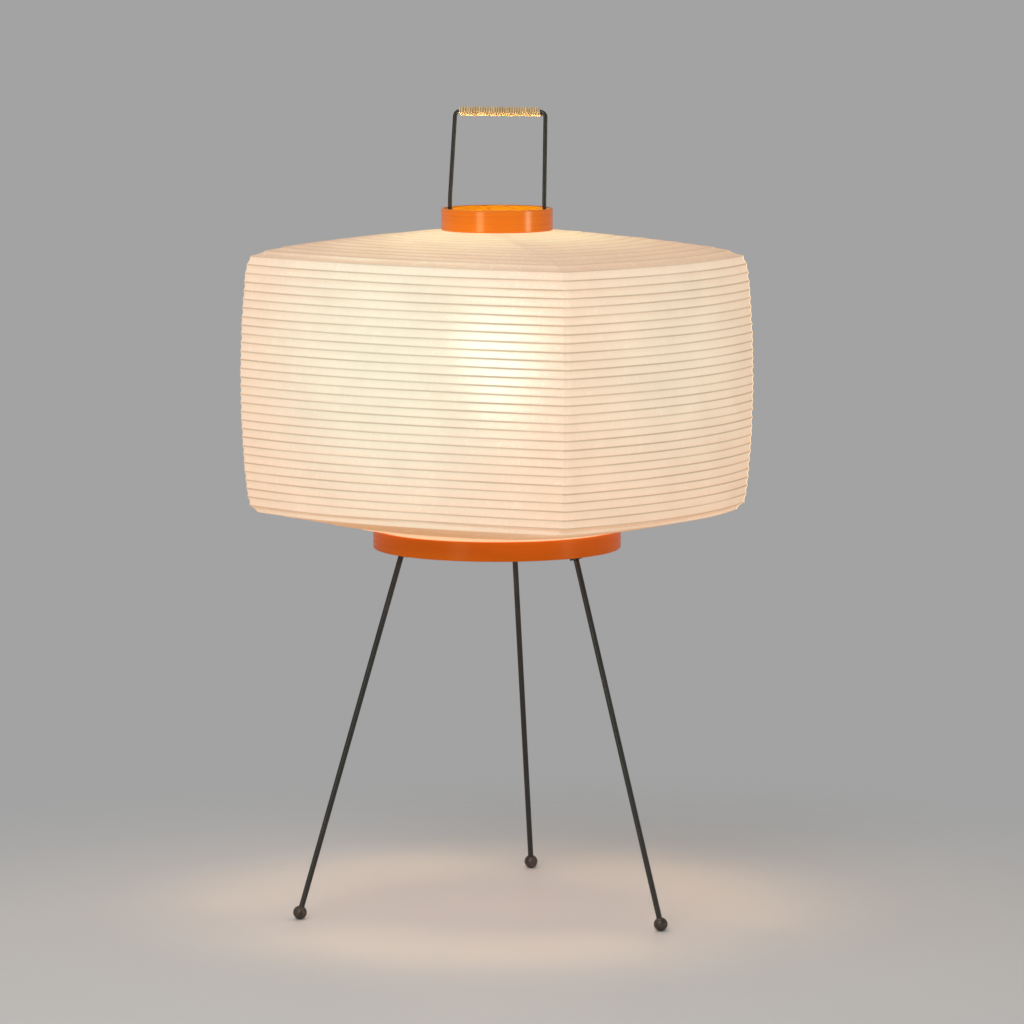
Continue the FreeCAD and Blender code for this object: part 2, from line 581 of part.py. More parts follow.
def bulb():
    """Frosted bulb: blown globe, screw cap with rolled thread, insulating foot, tip and light source."""
    radius = BULB_DIAMETER / 2
    neck = BULB_CENTRE - BULB_NECK_DROP
    cap_low = neck - BULB_CAP_LENGTH
    collar = BULB_CAP_DIAMETER / 2

    def globe(shrink):
        size = radius - shrink
        foot = collar - shrink
        waist = Vector(foot + 2.5, 0, neck + 14)
        turn = math.radians(-38)
        shoulder = Vector(size * math.cos(turn), 0, BULB_CENTRE + size * math.sin(turn))
        crown = Vector(0, 0, BULB_CENTRE + size)
        rise = math.radians(25)
        side = Vector(size * math.cos(rise), 0, BULB_CENTRE + size * math.sin(rise))
        middle, rim = Vector(0, 0, neck), Vector(foot, 0, neck)
        edges = [Part.LineSegment(*ends) for ends in ((middle, rim), (rim, waist), (waist, shoulder))]
        edges += [Part.Arc(shoulder, side, crown), Part.LineSegment(crown, middle)]
        return Part.Face(Part.Wire([edge.toShape() for edge in edges])).revolve(Vector(), Z_AXIS, 360)

    pieces["bulb_globe"] = globe(0.0).cut(globe(BULB_GLASS))
    ridges = int((BULB_CAP_LENGTH - 6) / THREAD_PITCH)
    outline = [(collar - 3, cap_low), (collar - 1.6, cap_low)]
    for ridge in range(ridges):
        low = cap_low + 1.5 + ridge * THREAD_PITCH
        outline += [(collar - THREAD_DEPTH, low), (collar, low + THREAD_PITCH * 0.35),
                    (collar, low + THREAD_PITCH * 0.6), (collar - THREAD_DEPTH, low + THREAD_PITCH * 0.95)]
    outline += [(collar, neck - 2), (collar, neck), (collar - 3, neck)]
    pieces["bulb_cap"] = revolved(outline)
    foot = BULB_TIP + 1
    pieces["bulb_insulator"] = revolved([(0, foot), (5, foot), (collar - 2, cap_low), (0, cap_low)])
    pieces["bulb_tip"] = revolved([(0, BULB_TIP), (3, BULB_TIP), (4, foot), (0, foot)])
    rest = collar - BULB_GLASS - SLIDE_FIT
    carrier = [(0, neck), (rest, neck), (rest, neck + 2), (6.5, neck + 5), (5, BULB_CENTRE - 8),
               (7, BULB_CENTRE - 5), (7, BULB_CENTRE + 8), (0, BULB_CENTRE + 12)]
    pieces["light_source"] = revolved(carrier)


def main():
    paper_panels()
    bamboo_ribs()
    stand_frame()
    stretcher()
    cane_grip()
    top_ring()
    lamp_stem()
    lamp_holder()
    bulb()
    os.makedirs("parts", exist_ok=True)
    for name, shape in pieces.items():
        shape.exportStep(f"parts/{name}.step")
    print(len(pieces), "pieces")


main()
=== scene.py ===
"""Paper lantern table lamp on three wire legs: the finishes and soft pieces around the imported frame."""
import math

import bpy
import numpy as np
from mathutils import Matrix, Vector


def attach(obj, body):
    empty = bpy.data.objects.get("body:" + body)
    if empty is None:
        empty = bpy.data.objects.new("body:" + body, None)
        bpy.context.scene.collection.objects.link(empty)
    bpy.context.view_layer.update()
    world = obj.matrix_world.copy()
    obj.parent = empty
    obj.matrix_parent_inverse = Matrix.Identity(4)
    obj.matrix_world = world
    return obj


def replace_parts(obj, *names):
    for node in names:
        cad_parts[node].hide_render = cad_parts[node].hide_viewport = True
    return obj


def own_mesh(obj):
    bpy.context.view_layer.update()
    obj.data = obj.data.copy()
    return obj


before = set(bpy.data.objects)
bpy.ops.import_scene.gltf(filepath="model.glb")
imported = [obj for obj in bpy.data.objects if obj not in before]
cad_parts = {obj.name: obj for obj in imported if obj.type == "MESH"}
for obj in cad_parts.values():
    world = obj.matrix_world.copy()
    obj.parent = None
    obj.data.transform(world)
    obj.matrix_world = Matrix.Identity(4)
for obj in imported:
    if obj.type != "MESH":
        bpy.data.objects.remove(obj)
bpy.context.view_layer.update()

# Legs and stretcher
# Drawn steel rod, 4 mm for the three legs and 3 mm for the bent stretcher whose crown is the handle.
# These and the leg sockets are dipped in a thin satin black lacquer that lies a little unevenly on the metal.
MM = 0.001
LACQUER_BLACK = (0.017, 0.017, 0.018)
LACQUER_WORN = (0.060, 0.058, 0.056)


def add(tree, kind, inputs=None, **settings):
    """New shader node of a kind, with its settings, and its inputs as plain values or as sockets to link."""
    made = tree.nodes.new("ShaderNode" + kind)
    for name, value in settings.items():
        setattr(made, name, value)
    for key, value in (inputs or {}).items():
        if isinstance(value, bpy.types.NodeSocket):
            tree.links.new(value, made.inputs[key])
        else:
            made.inputs[key].default_value = value
    return made


def math_node(tree, operation, *values, clamp=False):
    """Result of one sum on up to three values or sockets."""
    return add(tree, "Math", dict(enumerate(values)), operation=operation, use_clamp=clamp).outputs[0]


def colour_mix(tree, share, first, second, blend="MIX"):
    """Colour between two others, or their product and the like, by a share."""
    four = [value if isinstance(value, bpy.types.NodeSocket) else (*value, 1.0) for value in (first, second)]
    node = add(tree, "Mix", {0: share, 6: four[0], 7: four[1]}, data_type="RGBA", blend_type=blend)
    return node.outputs[2]


def stepped(tree, value, low, high, start=0.0, end=1.0):
    """Smooth step of a value from low to high, as a number from start to end."""
    settings = {0: value, 1: low, 2: high, 3: start, 4: end}
    return add(tree, "MapRange", settings, interpolation_type="SMOOTHSTEP").outputs[0]


def placed(tree, scale=(1, 1, 1), turn=(0, 0, 0), attribute=None):
    """Pattern coordinates: the piece's own place in metres, or one of its attributes, scaled and turned."""
    if attribute:
        source = add(tree, "Attribute", attribute_name=attribute).outputs["Vector"]
    else:
        source = add(tree, "TexCoord").outputs["Object"]
    return add(tree, "Mapping", {"Vector": source, "Scale": scale, "Rotation": turn}).outputs[0]


def finish(name, **plain):
    """Material with one Principled shader, whose plain values are set on its own sockets."""
    material = bpy.data.materials.new(name)
    material.use_nodes = True
    shader = material.node_tree.nodes["Principled BSDF"]
    for key, value in plain.items():
        socket = shader.inputs[key.replace("_", " ")]
        socket.default_value = (*value, 1.0) if isinstance(value, tuple) else value
    return material, material.node_tree, shader


def group(name, inputs, outputs):
    """Empty node group with named number and vector inputs and number outputs."""
    tree = bpy.data.node_groups.new(name, "ShaderNodeTree")
    for label, value in inputs.items():
        kind = "NodeSocketVector" if value is None else "NodeSocketFloat"
        socket = tree.interface.new_socket(label, in_out="INPUT", socket_type=kind)
        if value is not None:
            socket.default_value = value
    for label in outputs:
        tree.interface.new_socket(label, in_out="OUTPUT", socket_type="NodeSocketFloat")
    return tree, tree.nodes.new("NodeGroupInput"), tree.nodes.new("NodeGroupOutput")


def mottle_group():
    """Uneven finish: broad clouds and fine specks of noise, summed into one value about 0.5, and a height."""
    tree, given, gives = group("uneven_finish", {"Place": None, "Cloud": 60.0, "Speck": 900.0, "Specks": 0.4},
                               ("Value", "Height"))
    place = given.outputs["Place"]
    cloud = add(tree, "TexNoise", {"Vector": place, "Scale": given.outputs["Cloud"], "Detail": 4.0})
    speck = add(tree, "TexNoise", {"Vector": place, "Scale": given.outputs["Speck"], "Detail": 2.0})
    off = math_node(tree, "SUBTRACT", speck.outputs[0], 0.5)
    value = math_node(tree, "MULTIPLY_ADD", off, given.outputs["Specks"], cloud.outputs[0])
    tree.links.new(value, gives.inputs["Value"])
    tree.links.new(speck.outputs[0], gives.inputs["Height"])
    return tree


UNEVEN = mottle_group()


def uneven(tree, place, cloud=60.0, speck=900.0, specks=0.4):
    """Places the uneven finish group in a material."""
    node = add(tree, "Group", node_tree=UNEVEN)
    tree.links.new(place, node.inputs["Place"])
    for label, value in (("Cloud", cloud), ("Speck", speck), ("Specks", specks)):
        node.inputs[label].default_value = value
    return node.outputs["Value"], node.outputs["Height"]


def bumped(tree, shader, height, distance, strength=1.0):
    """Fine relief of a height, in metres, on a shader's normal."""
    node = add(tree, "Bump", {"Height": height, "Distance": distance, "Strength": strength})
    tree.links.new(node.outputs[0], shader.inputs["Normal"])


def dress(material, *nodes):
    """Gives carried CAD nodes a material."""
    for name in nodes:
        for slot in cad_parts[name].material_slots:
            slot.material = material


lacquer, tree, shader = finish("black_lacquer", Specular_IOR_Level=0.45)
value, height = uneven(tree, placed(tree, (1, 1, 0.18)), cloud=110.0, speck=1600.0, specks=0.7)
thin = stepped(tree, value, 0.62, 0.80, start=0.0, end=0.5)
tree.links.new(colour_mix(tree, thin, LACQUER_BLACK, LACQUER_WORN), shader.inputs["Base Color"])
tree.links.new(stepped(tree, value, 0.25, 0.8, start=0.26, end=0.46), shader.inputs["Roughness"])
bumped(tree, shader, height, 0.04 * MM)
dress(lacquer, "leg_1", "leg_2", "leg_3", "leg_sockets", "stretcher_handle")

# Ball feet
# Turned hardwood balls, 10 mm, bored for the legs and stained a brown black under wax.
# The turning left fine rings about each ball's upright axis, and the end grain took more stain.
BALL_STAIN = (0.020, 0.012, 0.010)
BALL_GRAIN = (0.066, 0.040, 0.031)

stained, tree, shader = finish("stained_ball", Coat_Weight=0.25, Coat_Roughness=0.18)
place = placed(tree, (420, 420, 90), (0.5, 0.3, 0))
grain = add(tree, "TexNoise", {"Vector": place, "Scale": 1.0, "Detail": 5.0})
turned = add(tree, "TexWave", {"Vector": placed(tree), "Scale": 900.0, "Distortion": 1.5, "Detail": 2.0},
             bands_direction="Z")
mix = colour_mix(tree, stepped(tree, grain.outputs[0], 0.42, 0.68), BALL_STAIN, BALL_GRAIN)
tree.links.new(mix, shader.inputs["Base Color"])
tree.links.new(stepped(tree, grain.outputs[0], 0.3, 0.7, start=0.34, end=0.5), shader.inputs["Roughness"])
bumped(tree, shader, turned.outputs[0], 0.03 * MM)
dress(stained, "foot_1", "foot_2", "foot_3")

# Base plate, clips and screws
# Pressed mild steel, zinc plated: a disc with three arms and turned-up tabs,
# the wire's nuts, the two clips of the top ring, and the small screws and tacks that hold them.
ZINC_LIGHT = (0.66, 0.67, 0.68)
ZINC_DARK = (0.46, 0.47, 0.49)

zinc, tree, shader = finish("zinc_plate", Metallic=1.0)
place = placed(tree)
value, height = uneven(tree, place, cloud=140.0, speck=1400.0, specks=0.5)
flake = add(tree, "TexVoronoi", {"Vector": place, "Scale": 420.0})
shade = math_node(tree, "MULTIPLY_ADD", flake.outputs["Distance"], 0.35, value)
mix = colour_mix(tree, stepped(tree, shade, 0.35, 0.95), ZINC_DARK, ZINC_LIGHT)
tree.links.new(mix, shader.inputs["Base Color"])
tree.links.new(stepped(tree, value, 0.25, 0.8, start=0.28, end=0.5), shader.inputs["Roughness"])
bumped(tree, shader, height, 0.03 * MM)
dress(zinc, "base_plate", "leg_grub_screws", "tab_screws", "stretcher_nuts", "ring_clips", "clip_tacks")

# Bentwood rings
# Two hoops of steamed ash, grain along them, each closed by a long glued scarf, in clear orange varnish.
# The one under the lantern is painted a deeper orange, as shade under the lantern, and has a duller coat.
# The inside of the one at the mouth is painted darker, as shade against the bulb's strong light on it.
WOOD_LIGHT = (0.92, 0.222, 0.003)
WOOD_DEEP = (0.82, 0.172, 0.002)
WOOD_PORE = (0.62, 0.105, 0.001)
WOOD_BASE_SHADED = (0.68, 0.128, 0.002)
WOOD_INSIDE_SHADED = (0.335, 0.150, 0.004)
GLUE_LINE = (0.20, 0.045, 0.006)
BASE_SHADE_SHARE, PORE_SHARE, CLOUD_SHARE = 0.8, 0.2, 0.55
BASE_COAT, TOP_COAT = 0.25, 0.7
BASE_RING_MIDDLE, RINGS_APART, BETWEEN_RINGS = 272 * MM, 231.5 * MM, 400 * MM
TOP_RING_INSIDE = 38.4 * MM
SCARF_TURN, SCARF_SLOPE = 2.21, 32.0
GLUE_FROM, GLUE_TO = 0.0006, 0.0014


def off_axis(tree, place):
    """Distance of a place from the lamp's upright axis: the root of x squared plus y squared."""
    square = math_node(tree, "MULTIPLY", place[1], place[1])
    return math_node(tree, "SQRT", math_node(tree, "MULTIPLY_ADD", place[0], place[0], square))


varnish, tree, shader = finish("orange_varnish", Specular_IOR_Level=0.05, Coat_Roughness=0.2)
growth = add(tree, "TexNoise", {"Vector": placed(tree, (7, 7, 520)), "Scale": 1.0, "Detail": 4.0,
                                "Roughness": 0.62})
pores = add(tree, "TexNoise", {"Vector": placed(tree, (38, 38, 2600)), "Scale": 1.0, "Detail": 2.0})
clouds = add(tree, "TexNoise", {"Vector": placed(tree), "Scale": 28.0, "Detail": 3.0})
place = add(tree, "SeparateXYZ", {0: add(tree, "TexCoord").outputs["Object"]}).outputs
around = math_node(tree, "ARCTAN2", place[1], place[0])
upper = math_node(tree, "GREATER_THAN", place[2], BETWEEN_RINGS)
middle = math_node(tree, "MULTIPLY_ADD", upper, RINGS_APART, BASE_RING_MIDDLE)
rise = math_node(tree, "SUBTRACT", place[2], middle)
# The scarf is a line that slopes round each ring: its turn grows with the rise, and glue shows close to it.
scarf = math_node(tree, "SUBTRACT", around, math_node(tree, "MULTIPLY_ADD", rise, SCARF_SLOPE, SCARF_TURN))
scarf = math_node(tree, "FRACT", math_node(tree, "MULTIPLY_ADD", scarf, 0.5 / math.pi, 0.5))
scarf = math_node(tree, "ABSOLUTE", math_node(tree, "SUBTRACT", scarf, 0.5))
glue = stepped(tree, scarf, GLUE_FROM, GLUE_TO, start=1.0, end=0.0)
deep = math_node(tree, "MULTIPLY_ADD", clouds.outputs[0], CLOUD_SHARE, growth.outputs[0])
inside_shaded = math_node(tree, "LESS_THAN", off_axis(tree, place), TOP_RING_INSIDE)
wood = colour_mix(tree, stepped(tree, deep, 0.5, 1.1), WOOD_LIGHT, WOOD_DEEP)
# Painted shade: the base ring's colour is deeper, as under the lantern's overhang.
wood = colour_mix(tree, math_node(tree, "MULTIPLY_ADD", upper, -BASE_SHADE_SHARE, BASE_SHADE_SHARE), wood, WOOD_BASE_SHADED)
# Painted shade: inside the top ring the colour is darker, against the bulb's strong light.
wood = colour_mix(tree, inside_shaded, wood, WOOD_INSIDE_SHADED)
pored = stepped(tree, pores.outputs[0], 0.56, 0.76, start=0.0, end=PORE_SHARE)
wood = colour_mix(tree, pored, wood, WOOD_PORE)
wood = colour_mix(tree, glue, wood, GLUE_LINE)
tree.links.new(wood, shader.inputs["Base Color"])
coat = math_node(tree, "MULTIPLY_ADD", upper, TOP_COAT - BASE_COAT, BASE_COAT)
tree.links.new(coat, shader.inputs["Coat Weight"])
tree.links.new(stepped(tree, growth.outputs[0], 0.3, 0.7, start=0.30, end=0.44), shader.inputs["Roughness"])
relief = math_node(tree, "MULTIPLY_ADD", pores.outputs[0], -0.5, math_node(tree, "MULTIPLY", glue, -1.0))
bumped(tree, shader, relief, 0.05 * MM)
dress(varnish, "base_ring", "top_ring")

# Stem and lampholder
# A hollow brass stem clamped to the plate by nuts and washers, with a plastic bush for a lead at its foot.
# It carries a moulded brown holder with a glazed porcelain inside, a thin brass liner and a brass contact.
BRASS_BRIGHT = (0.83, 0.62, 0.27)
BRASS_DULL = (0.50, 0.34, 0.13)
MOULDED_BROWN, MOULDED_SWIRL = (0.026, 0.015, 0.010), (0.075, 0.040, 0.024)
BUSH_BLACK, BUSH_WORN = (0.012, 0.012, 0.013), (0.035, 0.035, 0.036)
GLAZE_WHITE, GLAZE_GREY = (0.80, 0.78, 0.73), (0.70, 0.67, 0.61)

brass, tree, shader = finish("lacquered_brass", Metallic=1.0, Coat_Weight=0.15, Coat_Roughness=0.1)
drawn = add(tree, "TexNoise", {"Vector": placed(tree, (900, 900, 60)), "Scale": 1.0, "Detail": 3.0})
value, _ = uneven(tree, placed(tree), cloud=90.0, speck=1200.0, specks=0.4)
mix = colour_mix(tree, stepped(tree, value, 0.42, 0.8), BRASS_BRIGHT, BRASS_DULL)
tree.links.new(mix, shader.inputs["Base Color"])
tree.links.new(stepped(tree, drawn.outputs[0], 0.3, 0.7, start=0.2, end=0.38), shader.inputs["Roughness"])
bumped(tree, shader, drawn.outputs[0], 0.02 * MM)
dress(brass, "lamp_stem", "stem_nuts", "stem_washers", "holder_liner", "holder_contact")

moulded, tree, shader = finish("brown_moulding", Specular_IOR_Level=0.5)
swirl = add(tree, "TexNoise", {"Vector": placed(tree), "Scale": 120.0, "Detail": 6.0, "Distortion": 1.8})
value, height = uneven(tree, placed(tree), cloud=200.0, speck=2400.0, specks=0.5)
mix = colour_mix(tree, stepped(tree, swirl.outputs[0], 0.4, 0.75), MOULDED_BROWN, MOULDED_SWIRL)
tree.links.new(mix, shader.inputs["Base Color"])
tree.links.new(stepped(tree, value, 0.3, 0.75, start=0.28, end=0.42), shader.inputs["Roughness"])
bumped(tree, shader, height, 0.02 * MM)
dress(moulded, "holder_cap", "holder_body")

bush, tree, shader = finish("black_moulding", Specular_IOR_Level=0.4)
value, height = uneven(tree, placed(tree), cloud=300.0, speck=3000.0, specks=0.8)
tree.links.new(colour_mix(tree, value, BUSH_BLACK, BUSH_WORN), shader.inputs["Base Color"])
tree.links.new(stepped(tree, value, 0.3, 0.8, start=0.45, end=0.62), shader.inputs["Roughness"])
bumped(tree, shader, height, 0.06 * MM)
dress(bush, "cord_bush")

glaze, tree, shader = finish("porcelain_glaze", Coat_Weight=0.6, Coat_Roughness=0.06)
value, height = uneven(tree, placed(tree), cloud=160.0, speck=1800.0, specks=0.3)
tree.links.new(colour_mix(tree, value, GLAZE_WHITE, GLAZE_GREY), shader.inputs["Base Color"])
tree.links.new(stepped(tree, value, 0.3, 0.8, start=0.2, end=0.34), shader.inputs["Roughness"])
bumped(tree, shader, height, 0.03 * MM)
dress(glaze, "holder_insulator")

# Bulb
# A 60 mm globe of glass, frosted inside and lit, on a nickel plated screw cap with a dark glass foot.
# The lit globe is the lamp's own light, warm white, and looks paler than the light it gives.
BULB_CENTRE = (0.0, 0.0, 411 * MM)
BULB_LIGHT = (1.0, 0.66, 0.33)
BULB_POWER, BULB_LOOK = 60.0, 1.5
GLOBE_FROST = (0.86, 0.84, 0.80)
GLOBE_GLOW, GLOBE_DIMMER, NECK_GLOW = (1.0, 0.90, 0.70), (0.9, 0.7, 0.45), (0.86, 0.52, 0.22)
NECK_FROM, NECK_TO = -45 * MM, -12 * MM
NICKEL_BRIGHT, NICKEL_DULL = (0.74, 0.72, 0.68), (0.52, 0.50, 0.47)
FOOT_GLASS, FOOT_GLASS_PALE = (0.010, 0.010, 0.016), (0.030, 0.029, 0.038)

globe, tree, shader = finish("frosted_globe", Base_Color=GLOBE_FROST, Emission_Strength=BULB_LOOK)
value, height = uneven(tree, placed(tree), cloud=45.0, speck=2600.0, specks=0.2)
tree.links.new(stepped(tree, value, 0.3, 0.8, start=0.34, end=0.5), shader.inputs["Roughness"])
place = add(tree, "TexCoord").outputs["Object"]
apart = add(tree, "VectorMath", {0: place, 1: BULB_CENTRE}, operation="SUBTRACT")
fall = add(tree, "SeparateXYZ", {0: apart.outputs[0]}).outputs[2]
warm = colour_mix(tree, stepped(tree, fall, NECK_FROM, NECK_TO), NECK_GLOW, GLOBE_GLOW)
warm = colour_mix(tree, stepped(tree, value, 0.3, 0.8, start=0.0, end=0.12), warm, GLOBE_DIMMER)
tree.links.new(warm, shader.inputs["Emission Color"])
bumped(tree, shader, height, 0.02 * MM)
beam = add(tree, "Emission", {"Color": (*BULB_LIGHT, 1.0), "Strength": BULB_POWER})
seen = add(tree, "MixShader", {0: add(tree, "LightPath").outputs["Is Camera Ray"], 1: beam.outputs[0],
                               2: shader.outputs[0]})
tree.links.new(seen.outputs[0], tree.nodes["Material Output"].inputs["Surface"])
dress(globe, "bulb_globe", "light_source")

nickel, tree, shader = finish("nickel_cap", Metallic=1.0)
value, height = uneven(tree, placed(tree), cloud=220.0, speck=1500.0, specks=0.4)
tree.links.new(colour_mix(tree, value, NICKEL_BRIGHT, NICKEL_DULL), shader.inputs["Base Color"])
tree.links.new(stepped(tree, value, 0.3, 0.8, start=0.18, end=0.36), shader.inputs["Roughness"])
bumped(tree, shader, height, 0.02 * MM)
dress(nickel, "bulb_cap", "bulb_tip")

dark_glass, tree, shader = finish("dark_foot_glass", Coat_Weight=0.5, Coat_Roughness=0.08)
value, height = uneven(tree, placed(tree), cloud=350.0, speck=2000.0, specks=0.5)
tree.links.new(colour_mix(tree, value, FOOT_GLASS, FOOT_GLASS_PALE), shader.inputs["Base Color"])
tree.links.new(stepped(tree, value, 0.3, 0.8, start=0.2, end=0.4), shader.inputs["Roughness"])
bumped(tree, shader, height, 0.03 * MM)
dress(dark_glass, "bulb_insulator")

# Cane grip
# Split rattan, wound as a pair of strands side by side about the crown of the handle, 24 turns of the pair.
# Each strand is a flat oval, glossy on its skin side, and its ends are tucked under the first and last turn.
WIRE_RADIUS = 1.5 * MM
CROWN_HEIGHT = 581 * MM
CROWN_LEAN = 2.5 * MM
HANDLE_TURN = math.radians(22)
GRIP_TURNS = 24
GRIP_PITCH = 2.52 * MM
STRAND_WIDTH = 1.24 * MM
STRAND_DEPTH = 1.95 * MM
STRANDS, STRAND_STEPS, STRAND_SIDES = 2, 30, 10
GLUE_GAP = 0.04 * MM
TAPER = 160
CANE_PALE = (0.95, 0.74, 0.43)
CANE_BROWN = (0.54, 0.33, 0.12)
CANE_GAP_SHADE = (0.26, 0.14, 0.045)


def grid_faces(rows, columns, wrap_columns=False):
    """Quads of a grid of rows by columns, numbered row by row, with its columns joined round if asked."""
    row, column = np.meshgrid(np.arange(rows - 1), np.arange(columns - (not wrap_columns)), indexing="ij")
    on = (column + 1) % columns
    here, above = row * columns, (row + 1) * columns
    return np.stack((here + column, here + on, above + on, above + column), -1).reshape(-1, 4)


def mesh_piece(name, points, faces, body, material, attributes=None):
    """Smooth mesh object from whole arrays, riding on a body, with numbers or vectors kept at its points."""
    mesh = bpy.data.meshes.new(name)
    mesh.from_pydata(points.reshape(-1, 3), [], faces)
    mesh.polygons.foreach_set("use_smooth", np.ones(len(mesh.polygons), bool))
    for label, values in (attributes or {}).items():
        vector = values.ndim == points.ndim
        kept = mesh.attributes.new(label, "FLOAT_VECTOR" if vector else "FLOAT", "POINT")
        plain = np.ascontiguousarray(values, np.float32).ravel()
        kept.data.foreach_set("vector" if vector else "value", plain)
    mesh.materials.append(material)
    mesh.update()
    piece = bpy.data.objects.new(name, mesh)
    bpy.context.collection.objects.link(piece)
    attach(piece, body)
    return piece


def wound_strand(start):
    """One strand of the grip: an oval carried along a helix about the crown.

    The middle of the strand lies half its depth off the wire and rises one pitch a turn along the crown.
    The oval narrows to a point at both ends, where it sinks to the wire. Small waves in depth and in
    width stand for the uneven cane.
    """
    turn = np.linspace(0, 2 * math.pi * GRIP_TURNS, GRIP_TURNS * STRAND_STEPS + 1)
    run = turn / turn[-1]
    taper = np.clip(np.minimum(run, 1 - run) * TAPER, 0, 1) ** 0.5
    uneven_depth = 1 + 0.05 * np.sin(turn * 0.37 + start * 9) + 0.04 * np.sin(turn * 1.31 + start * 5)
    depth = STRAND_DEPTH * uneven_depth * taper
    width = STRAND_WIDTH * (1 + 0.03 * np.sin(turn * 0.71 + start * 7)) * taper
    along = CROWN_LEAN + GRIP_PITCH * (turn / (2 * math.pi) - GRIP_TURNS / 2 + start)
    along = along + 0.06 * MM * np.sin(turn * 0.53 + start * 3)
    side = np.linspace(0, 2 * math.pi, STRAND_SIDES, endpoint=False)
    out = WIRE_RADIUS + GLUE_GAP + depth[:, None] * (0.5 + 0.5 * np.cos(side))
    shift = along[:, None] + width[:, None] * 0.5 * np.sin(side) * (0.72 + 0.28 * np.cos(side - 0.2) ** 2)
    aside, up = out * np.cos(turn)[:, None], out * np.sin(turn)[:, None]
    points = np.stack([shift * math.cos(HANDLE_TURN) - aside * math.sin(HANDLE_TURN),
                       shift * math.sin(HANDLE_TURN) + aside * math.cos(HANDLE_TURN), CROWN_HEIGHT + up], -1)
    length = np.cumsum(np.full(len(turn), (WIRE_RADIUS + STRAND_DEPTH / 2) * turn[1]))
    across = np.broadcast_to(side / (2 * math.pi), out.shape)
    lie = np.stack([np.broadcast_to(length[:, None], out.shape), across, np.full(out.shape, start * 7.0)], -1)
    return points, lie, np.broadcast_to((np.cos(side) + 1) / 2, out.shape)


cane, tree, shader = finish("split_cane", Coat_Weight=0.2, Coat_Roughness=0.2, Specular_IOR_Level=0.5)
along, patchy = placed(tree, (160, 14, 1), attribute="lie"), placed(tree, (45, 0.4, 1), attribute="lie")
fibre = add(tree, "TexNoise", {"Vector": along, "Scale": 1.0, "Detail": 4.0})
patch = add(tree, "TexNoise", {"Vector": patchy, "Scale": 1.0, "Detail": 3.0})
crest = add(tree, "Attribute", attribute_name="crest").outputs["Fac"]
fine = math_node(tree, "MULTIPLY", fibre.outputs[0], 0.5)
shade = math_node(tree, "MULTIPLY_ADD", patch.outputs[0], 0.8, fine)
gold = colour_mix(tree, stepped(tree, shade, 0.45, 0.95), CANE_PALE, CANE_BROWN)
# Painted shade: each strand darkens at its sides, towards the gaps between the turns.
gold = colour_mix(tree, stepped(tree, crest, 0.25, 0.8, start=0.75, end=0.0), gold, CANE_GAP_SHADE)
tree.links.new(gold, shader.inputs["Base Color"])
tree.links.new(stepped(tree, fibre.outputs[0], 0.3, 0.7, start=0.34, end=0.52), shader.inputs["Roughness"])
bumped(tree, shader, fibre.outputs[0], 0.06 * MM)

wound = [wound_strand(number / STRANDS - 0.25) for number in range(STRANDS)]
steps, ring = wound[0][0].shape[:2]
strip = grid_faces(steps, ring, True)
faces = np.concatenate([strip + number * steps * ring for number in range(STRANDS)])
points, lie, crest = (np.concatenate([strand[part] for strand in wound]) for part in range(3))
grip = mesh_piece("cane_winding", points, faces, "stand", cane, {"lie": lie, "crest": crest})
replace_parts(grip, "cane_grip")

# Bamboo ribs
# Split bamboo, 1.4 by 1.8 mm, bent to level hoops and scarfed: 5 in the underside, 30 up the sides
# and 11 over the top. The paper is glued to their outer faces, and they nest when the lantern folds.
LANTERN_LENGTH, LANTERN_DEPTH = 293.5 * MM, 231.5 * MM
SIDE_BOW, CORNER_RADIUS, BARREL = 18.75 * MM, 7 * MM, 3.8 * MM
SIDE_RIBS, TOP_RIBS, BOTTOM_RIBS = 30, 11, 5
BOTTOM_RIB_HEIGHT, SIDE_PITCH = 297.6 * MM, 6.19 * MM
TOP_RISE, TOP_CURVE = 18.4 * MM, 0.62
BELLY_IN, BELLY_DROP = 0.06, 0.27
SAG_ALL, SAG_LEAN, SAG_CORNERS, SAG_TURN = 0.24 * MM, -0.75 * MM, 0.81 * MM, math.radians(38.5)
SHOULDER_IN, FOOT_SHARE = np.array([1.9, 0.45]) * MM, 0.4
COLLAR_RADIUS, COLLAR_TOP = 87 * MM, 279 * MM
MOUTH_RADIUS = 39.6 * MM
RIB_WIDTH, RIB_DEPTH, RIB_SQUARENESS = 1.8 * MM, 1.4 * MM, 1.35
RIB_SEAT, RIB_DROP, RIB_TUCK = 1.15 * MM, 1.9 * MM, 0.35 * MM
RIB_WANDER = 0.11 * MM
FACE_STEPS, CORNER_STEPS = 26, 10
BAMBOO_PALE = (0.62, 0.44, 0.22)
BAMBOO_BROWN = (0.40, 0.25, 0.11)


def unit(vectors):
    """Vectors divided by their lengths."""
    return vectors / np.linalg.norm(vectors, axis=-1, keepdims=True)


